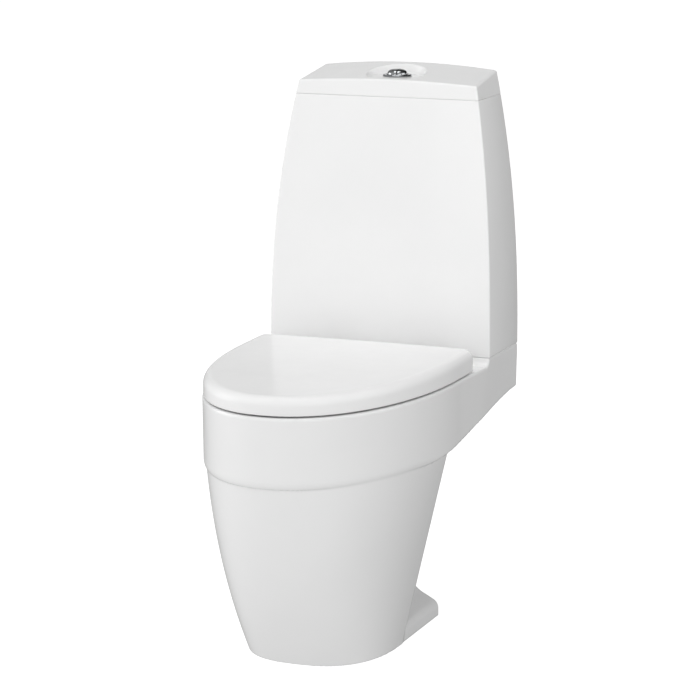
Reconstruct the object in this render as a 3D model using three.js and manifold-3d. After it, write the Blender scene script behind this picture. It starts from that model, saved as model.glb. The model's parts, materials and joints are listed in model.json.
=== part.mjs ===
// Close coupled toilet: a washdown pan, the cistern bolted on its shelf with the flush and fill valves
// inside, and a hinged seat with a wrap-over cover. Millimetres, +Z up, -Y to the front, +Y to the wall.
// The origin is on the floor, in the middle of the footprint.
import * as THREE from "three";
import { mergeVertices } from "three/addons/utils/BufferGeometryUtils.js";
import Module from "manifold-3d";

const wasm = await Module();
wasm.setup();

// ---- Driving dimensions ----
const depth = 605; // wall to the front of the rim
const rimZ = 400; // top of the rim and of the rear deck
const rimHalf = 180; // half the pan's width
const bandZ = 294; // lower edge of the band at the front
const shelfRise = 48.5; // how much higher that edge is at the wall
const cisternZ = 411.5; // underside of the cistern
const seamZ = 804.2; // joint between the cistern and its lid
const gap = 0.3; // between pieces that touch
const wallT = 9; // cistern wall
const cisternFloor = 13.5;
const shellT = 13; // wall of the hollow casting under the bowl
const valveSetback = 58; // wall to the axis of the flush valve and the buttons
const fillX = -128; // fill valve, on the left
const boltX = 90; // cistern coupling bolts, each side
const hingeX = 78; // seat hinges, each side
const hingeSetback = 203;
const hingeZ = 418;
const deckUnderZ = 384; // underside of the deck above the two shelf pockets
const trapSetback = 75; // wall to the end of the outlet spigot
const outletZ = 180;
const heelSetback = 159; // wall to the heel's rear face
const knobZ = 832; // floor of the dish in the cistern lid
const screwX = 68; // floor screws, each side
const screwSetback = 222;
const screwSeatZ = 30;
const hingeBaseR = 10.6; // foot of a hinge post, small enough for the open cover to pass behind it

const wall = depth / 2;
const fromWall = (distance) => wall - distance;
const mix = (a, b, t) => a + (b - a) * t;
const smooth = (t) => t * t * (3 - 2 * t);
const clamp = (t) => Math.min(1, Math.max(0, t));

// ---- Finishes ----
const finish = (color, roughness, metalness = 0) =>
  new THREE.MeshStandardMaterial({ color, roughness, metalness });
const china = finish(0xf2f2f0, 0.12);
const duroplast = finish(0xf3f3f1, 0.2);
const chrome = finish(0xc9ccd0, 0.08, 1);
const steel = finish(0xa9adb2, 0.35, 1);
const brass = finish(0xb59a56, 0.3, 1);
const rubber = finish(0x26272a, 0.8);
const softWhite = finish(0xe4e4e0, 0.6);
const whitePlastic = finish(0xeeeeec, 0.45);
const bluePlastic = finish(0x3f6fa8, 0.45);
const greyPlastic = finish(0x8d9196, 0.5);

// ---- Solids from three.js geometry ----
function solid(geometry) {
  const bare = geometry.clone();
  bare.deleteAttribute("normal");
  bare.deleteAttribute("uv");
  const merged = mergeVertices(bare, 1e-4);
  const made = (triVerts) =>
    new wasm.Manifold(
      new wasm.Mesh({
        numProp: 3,
        vertProperties: new Float32Array(merged.attributes.position.array),
        triVerts: new Uint32Array(triVerts),
      }),
    );
  const triangles = Array.from(merged.index.array);
  const first = made(triangles);
  return first.volume() >= 0 ? first : made(triangles.reverse());
}

function geometryOf(body) {
  const mesh = body.getMesh();
  return new THREE.BufferGeometry()
    .setAttribute("position", new THREE.BufferAttribute(mesh.vertProperties, 3))
    .setIndex(new THREE.BufferAttribute(mesh.triVerts, 1));
}

const join = (...bodies) => bodies.reduce((whole, body) => whole.add(body));
const cut = (body, ...tools) =>
  tools.reduce((whole, tool) => whole.subtract(tool), body);

// A turned piece about Z, from [radius, height] pairs that start and end on the axis.
function turned(profile, segments = 16) {
  const points = profile.map(([r, z]) => new THREE.Vector2(r, z));
  return new THREE.LatheGeometry(points, segments).rotateX(Math.PI / 2);
}

function rod(radius, low, high, segments = 14) {
  return turned([[0, low], [radius, low], [radius, high], [0, high]], segments);
}

function ring(outer, inner, low, high, segments = 16) {
  return turned(
    [[inner, low], [outer, low], [outer, high], [inner, high], [inner, low]],
    segments,
  );
}

// A hexagon across its corners, about Z, with a round hole.
function hexNut(acrossCorners, bore, low, high) {
  const body = solid(rod(acrossCorners / 2, low, high, 6));
  return geometryOf(cut(body, solid(rod(bore, low - 1, high + 1, 12))));
}

function block(x0, x1, y0, y1, z0, z1) {
  return new THREE.BoxGeometry(x1 - x0, y1 - y0, z1 - z0).translate(
    (x0 + x1) / 2,
    (y0 + y1) / 2,
    (z0 + z1) / 2,
  );
}

// A rod along X or Y, centred on the origin of the other two axes.
const alongX = (geometry) => geometry.rotateY(Math.PI / 2);
const alongY = (geometry) => geometry.rotateX(-Math.PI / 2);

// A closed body through rings that are mirror images about X = 0. Each half ring runs from the front
// centre round the +X side to the rear; every ring has the same number of points.
function lofted(halves) {
  const last = halves[0].length - 1;
  const around = 2 * last + 1;
  const positions = [];
  for (const half of halves) {
    half.forEach((p) => positions.push(...p));
    for (let i = last; i >= 1; i--) {
      positions.push(-half[i][0], half[i][1], half[i][2]);
    }
  }
  const left = (i) => (around - i) % around;
  const index = [];
  const quad = (a, b, c, d) => index.push(a, b, c, a, c, d);
  for (let level = 0; level + 1 < halves.length; level++) {
    const low = level * around;
    const high = low + around;
    for (let i = 0; i < around; i++) {
      const next = (i + 1) % around;
      quad(low + i, low + next, high + next, high + i);
    }
  }
  const cap = (base, up) => {
    const face = (...corners) => quad(...(up ? corners : corners.reverse()));
    for (let i = 1; i < last; i++) {
      face(base + i, base + i + 1, base + left(i + 1), base + left(i));
    }
    const tip = [base, base + 1, base + left(1)];
    index.push(...(up ? tip : tip.reverse()));
  };
  cap(0, false);
  cap((halves.length - 1) * around, true);
  return new THREE.BufferGeometry()
    .setAttribute("position", new THREE.Float32BufferAttribute(positions, 3))
    .setIndex(index);
}

// Half a plan outline: a superelliptic nose from the front centre to the widest place, a straight side,
// and a superelliptic rear corner.
function plan(p, noseSteps = 11, cornerSteps = 4) {
  const points = [];
  for (let i = 0; i <= noseSteps; i++) {
    const a = (i / noseSteps) * (Math.PI / 2);
    points.push([
      p.half * Math.sin(a) ** (2 / p.nose),
      p.middle - (p.middle - p.front) * Math.max(0, Math.cos(a)) ** (2 / p.nose),
    ]);
  }
  for (let i = 0; i <= cornerSteps; i++) {
    const b = (i / cornerSteps) * (Math.PI / 2);
    points.push([
      p.half - p.cornerX * (1 - Math.max(0, Math.cos(b))),
      p.rear - p.cornerY * (1 - Math.sin(b)),
    ]);
  }
  return points;
}

const inset = (p, d) => ({
  ...p,
  half: p.half - d,
  front: p.front + d,
  rear: p.rear - d,
});
const level = (points, z) => points.map(([x, y]) => [x, y, z]);

// ---- The scene graph ----
const toilet = new THREE.Group();

function group(parent, x, y, z) {
  const made = new THREE.Group();
  made.position.set(x, y, z);
  parent.add(made);
  return made;
}

function piece(parent, name, geometry, material, x = 0, y = 0, z = 0) {
  const mesh = new THREE.Mesh(geometry, material);
  mesh.name = name;
  mesh.position.set(x, y, z);
  parent.add(mesh);
  return mesh;
}

const sides = [
  ["left", -1],
  ["right", 1],
];

// ---- Pan ----
// Height of the band's lower edge: level round the bowl, rising smoothly towards the wall.
function bandEdge(y) {
  return bandZ + shelfRise * smooth(clamp((y - fromWall(376)) / 398));
}

// The band round the bowl, which runs back as the shelf that carries the cistern.
function bandBody() {
  // height from the lower edge to the rim, and how far the edge is rounded in there
  const rings = [
    [0, 6.5],
    [0.05, 2.2],
    [0.12, 0],
    [0.965, 0],
    [1, 3.5],
  ];
  return lofted(
    rings.map(([t, round]) => {
      const outline = {
        half: mix(179, rimHalf, t),
        front: fromWall(depth - 1.5 * clamp(1 - t / 0.965)),
        middle: fromWall(268.7),
        rear: wall,
        nose: 2.14,
        cornerX: 2,
        cornerY: 2,
      };
      const points = plan({ ...inset(outline, round), rear: wall }, 12, 1);
      return points.map(([x, y]) => {
        // The sides widen to the cistern's width at the wall, where the lower edge is sharper.
        const back = smooth(clamp((y - outline.middle) / 240));
        const sharp = t < 0.5 ? round * smooth(clamp((y - fromWall(420)) / 130)) : 0;
        const widen = x > 100 ? sharp + back * (cisternHalf(0) - rimHalf - 0.6) : 0;
        return [x + widen, y, mix(bandEdge(y), rimZ, t)];
      });
    }),
  );
}

// Plan of the tapered bucket under the band at a height: egg-shaped, `thin` inside the outer face.
function bucketPlan(z, thin) {
  const u = Math.max(0, 1 - z / 300);
  const middle = fromWall(mix(295, 331, u));
  const tail = mix(70, 50, u);
  const half = mix(173.5, 113.5, u) - thin;
  return {
    half,
    front: fromWall(592.5 - 112.5 * u * u) + thin,
    middle,
    rear: middle + tail + 1 - thin,
    nose: mix(2.18, 2.55, u),
    cornerX: half - 1,
    cornerY: tail - thin,
  };
}

function bucketBody() {
  const levels = [[0, 1.5], [5, 0], [20, 0], [60, 0], [120, 0], [180, 0], [240, 0], [320, 0]];
  return lofted(levels.map(([z, thin]) => level(plan(bucketPlan(z, thin), 10, 5), z)));
}

// The hollow that the casting leaves round the bowl, open at the floor.
function underHollow() {
  const levels = [[-1, shellT], [150, shellT], [300, shellT]];
  const rings = levels.map(([z, thin]) => level(plan(bucketPlan(z, thin), 7, 4), z));
  rings.push(level(plan(bucketPlan(300, shellT - 4), 7, 4), 384));
  return lofted(rings);
}

// The low heel behind the bucket, with a sloped top, that the floor screws hold down.
function heelBody() {
  const outline = new THREE.Shape();
  const half = [[111.5, 0], [111.5, 13], [109.5, 19.6], [102, 26.9], [69, 44.5], [52, 58]];
  half.forEach(([x, z], i) => (i ? outline.lineTo(x, z) : outline.moveTo(x, z)));
  [...half].reverse().forEach(([x, z]) => outline.lineTo(-x, z));
  outline.closePath();
  const length = 345 - heelSetback;
  return new THREE.ExtrudeGeometry(outline, { depth: length, bevelEnabled: false })
    .rotateX(Math.PI / 2)
    .translate(0, fromWall(heelSetback), 0);
}

// The upright spine that holds the trap.
function spineBody() {
  const levels = [[10, 50, 140], [212, 50, 140], [238, 40, 148], [256, 16, 170]];
  return lofted(
    levels.map(([z, half, rear]) =>
      level(
        plan({
          half,
          front: fromWall(322),
          middle: fromWall(300),
          rear: fromWall(rear),
          nose: 4,
          cornerX: half * 0.5,
          cornerY: 22,
        }, 2, 3),
        z,
      ),
    ),
  );
}

// The raised pad under the cistern, with a cove where its front meets the deck.
function plinthBody() {
  const levels = [[392, 148], [401, 144], [404, 140.5], [408, 138], [cisternZ - gap, 137.4]];
  const half = cisternHalf(0) - 0.6;
  return lofted(
    levels.map(([z, front]) => [
      [0, fromWall(front), z],
      [half - 4, fromWall(front), z],
      [half - 1, fromWall(front - 3), z],
      [half, wall - 2, z],
      [half - 2, wall, z],
    ]),
  );
}

// The bowl, wider under the rim, down to the sump: its hollow, or with a wall round the hollow.
function bowlBody(extra) {
  const levels = [
    // height, half width, distances of front, middle and rear from the wall
    [rimZ + 2, 118, 543, 400, 252],
    [366, 117, 542, 400, 253],
    [354, 127, 552, 400, 244],
    [300, 122, 545, 394, 251],
    [225, 95, 510, 376, 261],
    [150, 63, 455, 355, 274],
    [80, 38, 388, 340, 294],
    [42, 24, 370, 336, 304],
  ];
  return lofted(
    levels.map(([z, half, front, middle, rear]) =>
      level(
        plan({
          half: half + extra,
          front: fromWall(front + extra),
          middle: fromWall(middle),
          rear: fromWall(rear - extra),
          nose: 2.1,
          cornerX: half + extra - 1,
          cornerY: middle - rear + extra - 1,
        }, 8, 5),
        z - (extra && z < rimZ ? extra : 0),
      ),
    ).reverse(),
  );
}

// The water way from the sump, up over the weir and out through the spigot.
function trapTube(radius) {
  const centre = [
    [338, 80],
    [300, 80],
    [262, 105],
    [232, 160],
    [196, 203],
    [158, 194],
    [120, 182],
    [60, 180],
  ];
  const path = new THREE.CatmullRomCurve3(
    centre.map(([distance, z]) => new THREE.Vector3(0, fromWall(distance), z)),
  );
  const bore = new THREE.Shape().absarc(0, 0, radius, 0, 2 * Math.PI);
  return new THREE.ExtrudeGeometry(bore, {
    extrudePath: path,
    steps: 11,
    curveSegments: 6,
    bevelEnabled: false,
  });
}

function pan() {
  const at = (geometry, x, distance) => geometry.translate(x, fromWall(distance), 0);
  const spigot = alongY(rod(51, 0, 90, 24)).translate(0, fromWall(trapSetback + 90), outletZ);
  const front = join(solid(bandBody()), solid(bucketBody()));
  const bowlWall = solid(bowlBody(shellT - 2)).intersect(front);
  const sumpWall = solid(trapTube(49)).intersect(front);
  const body = join(
    cut(front, solid(underHollow())),
    bowlWall,
    sumpWall,
    ...[heelBody(), spineBody(), plinthBody(), spigot].map(solid),
  );
  const inlet = [
    at(rod(55, rimZ - 4.5, 420, 28), 0, valveSetback),
    at(rod(33, 366, 420, 20), 0, valveSetback),
    block(-26, 26, fromWall(252), fromWall(valveSetback - 26), 352, 384),
  ];
  const clearance = [at(rod(26, 340, 420), fillX, valveSetback + 4)];
  for (const [, side] of sides) {
    const pocket = [side * 34, side * 165].sort((a, b) => a - b);
    clearance.push(block(...pocket, fromWall(219), fromWall(15), 296, deckUnderZ));
    clearance.push(at(rod(6.5, 340, 420), side * boltX, valveSetback));
    clearance.push(at(rod(7, 340, 420), side * hingeX, hingeSetback));
    clearance.push(at(rod(4.6, -1, 60), side * screwX, screwSetback));
    clearance.push(at(rod(13, screwSeatZ, 80), side * screwX, screwSetback));
  }
  return geometryOf(
    cut(
      body,
      solid(bowlBody(0)),
      solid(trapTube(38)),
      ...[...inlet, ...clearance].map(solid),
    ),
  );
}

// ---- Cistern ----
// Half width and depth of the barrel-sided cistern at a height above its underside.
const cisternHalf = (h) => 183.2 - 38.7 * (h / 426) ** 2.3;
const cisternDepth = (h) => 137.6 - 32.3 * (h / 414) ** 2;

// Half a rounded rectangle in plan: the back is against the wall. More stations across its width let a
// crowned surface follow it.
function cisternPlan(h, d, stations = []) {
  const half = cisternHalf(h) - d;
  const front = wall - cisternDepth(h) + d;
  const back = wall - d;
  const r = 2.5;
  return [
    [0, front],
    ...stations.map((share) => [half * share, front]),
    [half - r, front],
    [half - 0.3 * r, front + 0.3 * r],
    [half, front + r],
    [half, back - 1.5],
    [half - 1.5, back],
    ...[...stations].reverse().map((share) => [half * share, back]),
  ];
}

function cistern() {
  const lidJoint = seamZ - cisternZ - gap;
  const heights = [0, 2, 90, 170, 240, 300, 350, lidJoint];
  const shell = lofted(
    heights.map((h) => level(cisternPlan(h, h ? 0 : 2), cisternZ + h)),
  );
  const hollowHeights = [cisternFloor, 90, 170, 240, 300, 350, lidJoint + 2];
  const hollow = lofted(
    hollowHeights.map((h) => level(cisternPlan(h, wallT), cisternZ + h)),
  );
  const holes = [
    rod(31.5, 400, 440).translate(0, fromWall(valveSetback), 0),
    rod(11.5, 400, 440).translate(fillX, fromWall(valveSetback + 4), 0),
    ...sides.map(([, side]) =>
      rod(6, 400, 440).translate(side * boltX, fromWall(valveSetback), 0),
    ),
  ];
  return geometryOf(cut(solid(shell), solid(hollow), ...holes.map(solid)));
}

// Top of the lid: wedge-shaped, low at the front, and crowned across its width.
function lidTop(x, y) {
  const back = clamp(1 - (wall - y) / 105);
  const across = 1 - (x / 145) ** 2;
  return mix(825.5, 841, back) + mix(5, 8.5, back) * across;
}

// The dish round the button: a flat floor with a hollow-curved wall.
function lidDish() {
  const profile = [[0, knobZ], [27, knobZ]];
  for (let i = 1; i <= 4; i++) {
    const a = (i / 4) * (Math.PI / 3);
    profile.push([27 + 28 * Math.sin(a), knobZ + 24 * (1 - Math.cos(a))]);
  }
  profile.push([60, 870], [0, 870]);
  return turned(profile, 28).translate(0, fromWall(valveSetback), 0);
}

function cisternLid() {
  const stations = [0.08, 0.35, 0.65];
  const rise = (h, d) => level(cisternPlan(h, d, stations), cisternZ + h);
  const rings = [rise(seamZ - cisternZ, 1.2), rise(seamZ - cisternZ + 1.5, 0)];
  for (const [scale, drop] of [[1, 2], [0.985, 0], [0.5, 0]]) {
    const edge = cisternPlan(826 - cisternZ, 0, stations);
    const middle = wall - 52.5;
    rings.push(
      edge.map(([x, y]) => {
        const px = x * scale;
        const py = middle + (y - middle) * scale;
        return [px, py, lidTop(px, py) - drop];
      }),
    );
  }
  const under = lofted(
    [seamZ - 1, 813, 814].map((z, i) =>
      level(cisternPlan(seamZ - cisternZ, wallT + 1 + (i === 2 ? 6 : 0)), z),
    ),
  );
  const lip = cut(
    solid(lofted([790, 815].map((z) => level(cisternPlan(392, wallT + 1), z)))),
    solid(lofted([789, 816].map((z) => level(cisternPlan(392, wallT + 7), z)))),
  );
  const hole = rod(20.5, 780, 860).translate(0, fromWall(valveSetback), 0);
  const shell = cut(solid(lofted(rings)), solid(under));
  return geometryOf(cut(join(shell, lip), solid(lidDish()), solid(hole)));
}

// ---- Flush buttons, in the frame of the button's axis at the dish floor ----
const buttonR = 16;
const splitX = 4; // the split leaves the larger button on the left
const domeRise = 9;

function bezel() {
  const profile = [
    [16.6, -26], [19.6, -26], [19.6, gap], [23, gap], [23, 1.8], [21, 3.2], [16.6, 2.2],
    [16.6, -26],
  ];
  return turned(profile, 24);
}

// Both buttons are cut from one dome that stands above the bezel.
function buttonDome() {
  const profile = [[0, -10], [buttonR, -10], [buttonR, 3]];
  for (let i = 1; i < 4; i++) {
    const a = (i / 4) * (Math.PI / 2);
    profile.push([buttonR * Math.cos(a) ** 0.75, 3 + (domeRise - 3) * Math.sin(a)]);
  }
  profile.push([0, domeRise]);
  return solid(turned(profile, 24));
}

function button(side) {
  const keep = side < 0
    ? block(-30, splitX - 0.3, -30, 30, -30, 30)
    : block(splitX + 0.3, 30, -30, 30, -30, 30);
  return geometryOf(buttonDome().intersect(solid(keep)));
}

// ---- Flush valve, in the frame of its axis at the cistern's underside ----
const floorH = cisternFloor + gap;
const headTop = 280;
const plungerTop = 289;
const plungerX = 9;

function flushValveBody() {
  const base = floorH + 3;
  const neckLow = 130;
  const neckTop = 222;
  const body = solid(
    turned(
      [
        [25, -20], [30, -20], [30, base], [42, base], [42, base + 5], [34, base + 5],
        [34, neckLow], [24, neckLow + 8], [24, neckTop], [31, neckTop], [31, neckTop + 4],
        [21, neckTop + 4], [21, neckLow + 8], [30.5, neckLow], [30.5, base + 6], [25, base + 4],
        [25, -20],
      ],
      18,
    ),
  );
  const windows = [0, 1].map((turn) =>
    solid(block(-16, 16, -50, 50, 32, 92).rotateZ((turn * Math.PI) / 2)),
  );
  return geometryOf(cut(body, ...windows));
}

function flushValveHead() {
  const low = 226 + gap;
  const cup = solid(
    turned(
      [
        [28, low], [32, low], [32, headTop - 3], [29, headTop], [0, headTop], [0, headTop - 4],
        [28, headTop - 4], [28, low],
      ],
      18,
    ),
  );
  const holes = sides.map(([, side]) => solid(rod(5.2, 200, 300).translate(side * plungerX, 0, 0)));
  const windows = solid(block(-12, 12, -50, 50, 236, 252));
  return geometryOf(cut(cup, ...holes, windows));
}

function liftTube() {
  const low = floorH + 3 + 6 + 5;
  return turned(
    [[14, low], [28, low], [28, low + 3], [17, low + 6], [17, 236], [14, 236], [14, low]],
    16,
  );
}

// A plunger hangs in the head by its flange, and its stem stands out of the top.
function plunger() {
  const shoulder = headTop - 4 - gap;
  const profile = [
    [0, headTop - 10], [7, headTop - 10], [7, shoulder], [4.8, shoulder], [4.8, plungerTop],
    [0, plungerTop],
  ];
  return turned(profile, 12);
}

// ---- Fill valve, in the frame of its axis at the cistern's underside ----
const headLow = 262;
const leverPivotX = -17;
const leverReach = 40;
const leverTilt = (18 * Math.PI) / 180;
const leverPivotZ = 296;
const linkX = leverPivotX + leverReach;

function fillValveBody() {
  const base = floorH + 2.5;
  return turned(
    [
      [4, -38], [10.2, -38], [10.2, base], [17, base], [17, base + 6], [11, base + 9],
      [11, headLow], [0, headLow], [0, headLow - 12], [4, headLow - 12], [4, -38],
    ],
    14,
  );
}

function fillValveHead() {
  const low = headLow + gap;
  const profile = [
    [0, low], [16, low], [18, low + 3], [18, low + 15], [14, low + 20], [0, low + 20],
  ];
  const cap = solid(turned(profile, 16));
  const earX = [leverPivotX - 5, leverPivotX + 5];
  const ear = (y) => solid(block(...earX, y - 2, y + 2, low + 4, leverPivotZ + 5));
  const outlet = solid(rod(4, -18, 0, 14).rotateX(-Math.PI / 2).translate(0, -14, low + 9));
  const bore = solid(alongY(rod(2.3, -20, 20, 14)).translate(leverPivotX, 0, leverPivotZ));
  return geometryOf(cut(join(cap, ear(-9), ear(9), outlet), bore));
}

const floatLow = 150;
const floatTop = 208;

function floatCup() {
  const profile = [
    [13, floatLow], [27, floatLow], [28, floatLow + 3], [28, floatTop - 3], [25, floatTop],
    [13, floatTop], [13, floatLow],
  ];
  return turned(profile, 18);
}

// The link stands on the float; its collar pushes the lever's fork up from below.
function floatLink(collarZ) {
  const foot = floatTop + gap;
  const profile = [
    [0, foot], [4, foot], [4, foot + 3.7], [1.8, foot + 3.7], [1.8, collarZ - 3],
    [4.5, collarZ - 3], [4.5, collarZ], [1.8, collarZ], [1.8, collarZ + 20], [0, collarZ + 20],
  ];
  return turned(profile, 10);
}

// The lever lies along X from its pivot, and ends in a fork round the link.
function floatLever() {
  const bar = solid(block(-6, leverReach + 8, -6, 6, -3.5, 3.5));
  const slot = solid(block(leverReach - 6, leverReach + 20, -3, 3, -10, 10));
  const bore = solid(alongY(rod(2.3, -20, 20, 14)));
  return geometryOf(cut(bar, slot, bore));
}

// ---- Seat ----
const seatMiddle = fromWall(270);
const coverPlan = {
  half: rimHalf - 1.5,
  front: fromWall(depth - 1.5),
  middle: seatMiddle,
  rear: fromWall(188),
  nose: 2.14,
  cornerX: 16,
  cornerY: 22,
};
const coverLugX = 58; // hinge lugs under the cover, inside the posts
const seatLugX = 98; // hinge lugs on the seat, outside the posts
const coverLow = rimZ + 2.5;
const notchZ = 409.5; // underside of the cover behind the notch, clear of the deck when it swings
const slotZ = 431; // top of the slots that let the cover's rear edge swing past the hinge posts
const coverTop = (y) => mix(436.5, 429.5, clamp((fromWall(188) - y) / 415));

function seatCover() {
  const rise = [[0, 1.2], [0.15, 0], [0.74, 0], [0.88, 1.5], [0.97, 4.8], [1, 9.5]];
  const rings = rise.map(([t, round]) =>
    plan(inset(coverPlan, round), 12, 3).map(([x, y]) => [x, y, mix(coverLow, coverTop(y), t)]),
  );
  const crown = 0.55; // the inner ring that carries the top's slight crown, as a share of its edge
  const crownMiddle = fromWall(390);
  rings.push(
    plan(inset(coverPlan, 9.5), 12, 3).map(([x, y]) => {
      const crownY = crownMiddle + (y - crownMiddle) * crown;
      return [x * crown, crownY, coverTop(crownY) + 1.5 * (1 - crown)];
    }),
  );
  const hollow = [[-0.2, 5], [0.74, 5], [0.84, 9]].map(([t, round]) =>
    plan(inset(coverPlan, round), 11, 3).map(([x, y]) => [x, y, mix(coverLow, coverTop(y), t)]),
  );
  const tools = [block(-200, 200, fromWall(221), fromWall(150), 395, notchZ)];
  const lugs = [];
  for (const [, side] of sides) {
    const slot = [side * 49, side * 108].sort((a, b) => a - b);
    tools.push(block(...slot, fromWall(196), fromWall(180), 395, slotZ));
    const place = (geometry, x) => geometry.translate(side * x, fromWall(hingeSetback), hingeZ);
    const lugX = [side * coverLugX - 6.5, side * coverLugX + 6.5];
    const lugY = [fromWall(hingeSetback + 8.5), fromWall(hingeSetback - 7)];
    lugs.push(solid(place(alongX(rod(8.5, -6.5, 6.5)), coverLugX)));
    lugs.push(solid(block(...lugX, ...lugY, hingeZ, 433)));
    tools.push(place(alongX(rod(4.4, -10, 10)), coverLugX));
  }
  const shell = cut(solid(lofted(rings)), solid(lofted(hollow)));
  return geometryOf(cut(join(shell, ...lugs), ...tools.map(solid)));
}

function seatRing() {
  const low = rimZ + 3.7;
  const outline = { ...inset(coverPlan, 9.5), rear: fromWall(222), cornerX: 30, cornerY: 30 };
  const rise = [[0, 3], [3, 0], [10, 0], [15, 4], [18, 24]];
  const rings = rise.map(([h, round]) => level(plan(inset(outline, round), 12, 3), low + h));
  const holeLevels = [[-2, 3], [2, 0], [12, 0], [20, 10]];
  const hole = holeLevels.map(([h, flare]) =>
    level(
      plan({
        half: 106 + flare,
        front: fromWall(535 + flare),
        middle: fromWall(400),
        rear: fromWall(272 - flare),
        nose: 2.1,
        cornerX: 105 + flare,
        cornerY: 126 + flare,
      }, 9, 7),
      low + h,
    ),
  );
  const lugs = [];
  const tools = [solid(lofted(hole))];
  for (const [, side] of sides) {
    const place = (geometry) =>
      geometry.translate(side * seatLugX, fromWall(hingeSetback), hingeZ);
    const lugX = [side * seatLugX - 6.5, side * seatLugX + 6.5];
    const lugY = [fromWall(240), fromWall(hingeSetback)];
    lugs.push(solid(place(alongX(rod(8.5, -6.5, 6.5)))));
    lugs.push(solid(block(...lugX, ...lugY, hingeZ - 8.4, hingeZ + 2.5)));
    tools.push(solid(place(alongX(rod(4.4, -10, 10)))));
  }
  return geometryOf(cut(join(solid(lofted(rings)), ...lugs), ...tools));
}

// A hinge post stands on the deck, with a cross barrel for the pin; frame: its axis at deck level.
function hingePost() {
  const axisH = hingeZ - rimZ;
  const body = join(
    solid(turned([[0, 1.5], [hingeBaseR, 1.5], [hingeBaseR, 6], [9, 8.5], [0, 8.5]], 16)),
    solid(block(-9, 9, -7.5, 7.5, 5, axisH)),
    solid(alongX(rod(9, -11.7, 11.7, 16)).translate(0, 0, axisH)),
  );
  const pinBore = solid(alongX(rod(4.4, -20, 20)).translate(0, 0, axisH));
  return geometryOf(cut(body, pinBore, solid(rod(4.3, -1, 7.5))));
}

function wingNut() {
  const hub = join(
    solid(rod(8, -11, 0, 14)),
    solid(block(-17, 17, -1.8, 1.8, -15, -4)),
  );
  return geometryOf(cut(hub, solid(rod(4.3, -20, 5, 12))));
}

function floorScrew() {
  const seatZ = screwSeatZ + 2 + gap;
  const profile = [
    [0, gap], [3.2, gap], [3.2, seatZ], [7, seatZ], [7, seatZ + 2.5], [4, seatZ + 4],
    [0, seatZ + 4],
  ];
  return turned(profile, 12);
}

// The cap that hides a floor screw, above the screw's head in the counterbore.
function floorScrewCap() {
  const low = screwSeatZ + 7;
  const profile = [[0, low], [8, low], [7.5, low + 2.5], [4, low + 4.5], [0, low + 5]];
  return turned(profile, 12);
}

// ---- Assembly ----
const onPan = group(toilet, 0, 0, 0);
piece(onPan, "pan", pan(), china);
piece(onPan, "cistern", cistern(), china);

const lidGroup = group(toilet, 0, 0, 0);
piece(lidGroup, "cistern_lid", cisternLid(), china);
const knob = group(toilet, 0, fromWall(valveSetback), knobZ);
piece(knob, "button_bezel", bezel(), chrome);
piece(knob, "bezel_nut", ring(27, 20, -24.5, -18 - gap, 18), whitePlastic);
piece(knob, "full_flush_button", button(-1), chrome);
piece(knob, "half_flush_button", button(1), chrome);
const rodLow = cisternZ + plungerTop + gap - knobZ;
piece(knob, "full_flush_rod", rod(3, rodLow, -10 - gap, 12), whitePlastic, -plungerX);
piece(knob, "half_flush_rod", rod(3, rodLow, -10 - gap, 12), whitePlastic, plungerX);

const valve = group(toilet, 0, fromWall(valveSetback), cisternZ);
piece(valve, "flush_valve_body", flushValveBody(), bluePlastic);
piece(valve, "flush_valve_head", flushValveHead(), whitePlastic);
piece(valve, "flush_lift_tube", liftTube(), greyPlastic);
piece(valve, "flush_valve_seal", ring(28, 17.3, floorH + 9 + gap, floorH + 14 - gap), rubber);
piece(valve, "flush_valve_washer", ring(44, 32, floorH, floorH + 3 - gap, 18), rubber);
piece(valve, "flush_valve_nut", ring(39, 30.6, -11, -gap, 18), whitePlastic);
piece(valve, "cistern_gasket", ring(53.5, 40, rimZ - 4.2 - cisternZ, -gap, 20), rubber);
piece(valve, "full_flush_plunger", plunger(), greyPlastic, -plungerX);
piece(valve, "half_flush_plunger", plunger(), greyPlastic, plungerX);

const filler = group(toilet, fillX, fromWall(valveSetback + 4), cisternZ);
const leverUnder = leverReach * Math.tan(leverTilt) + 3.5 / Math.cos(leverTilt);
const collarZ = leverPivotZ - leverUnder - 1.6;
piece(filler, "fill_valve_body", fillValveBody(), whitePlastic);
piece(filler, "fill_valve_head", fillValveHead(), bluePlastic);
piece(filler, "fill_valve_washer", ring(17, 10.7, floorH, floorH + 2.5 - gap, 14), rubber);
piece(filler, "fill_valve_nut", hexNut(34, 10.7, -9, -gap), whitePlastic);
piece(filler, "float_cup", floatCup(), whitePlastic);
piece(filler, "float_link", floatLink(collarZ), greyPlastic, linkX);
const pivot = group(filler, leverPivotX, 0, leverPivotZ);
const lever = piece(pivot, "float_lever", floatLever(), greyPlastic);
lever.rotation.y = leverTilt;
piece(pivot, "float_lever_pin", alongY(rod(2, -12, 12, 12)), steel);

const seat = group(toilet, 0, 0, 0);
piece(seat, "seat_ring", seatRing(), duroplast);
piece(seat, "seat_cover", seatCover(), duroplast);

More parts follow.
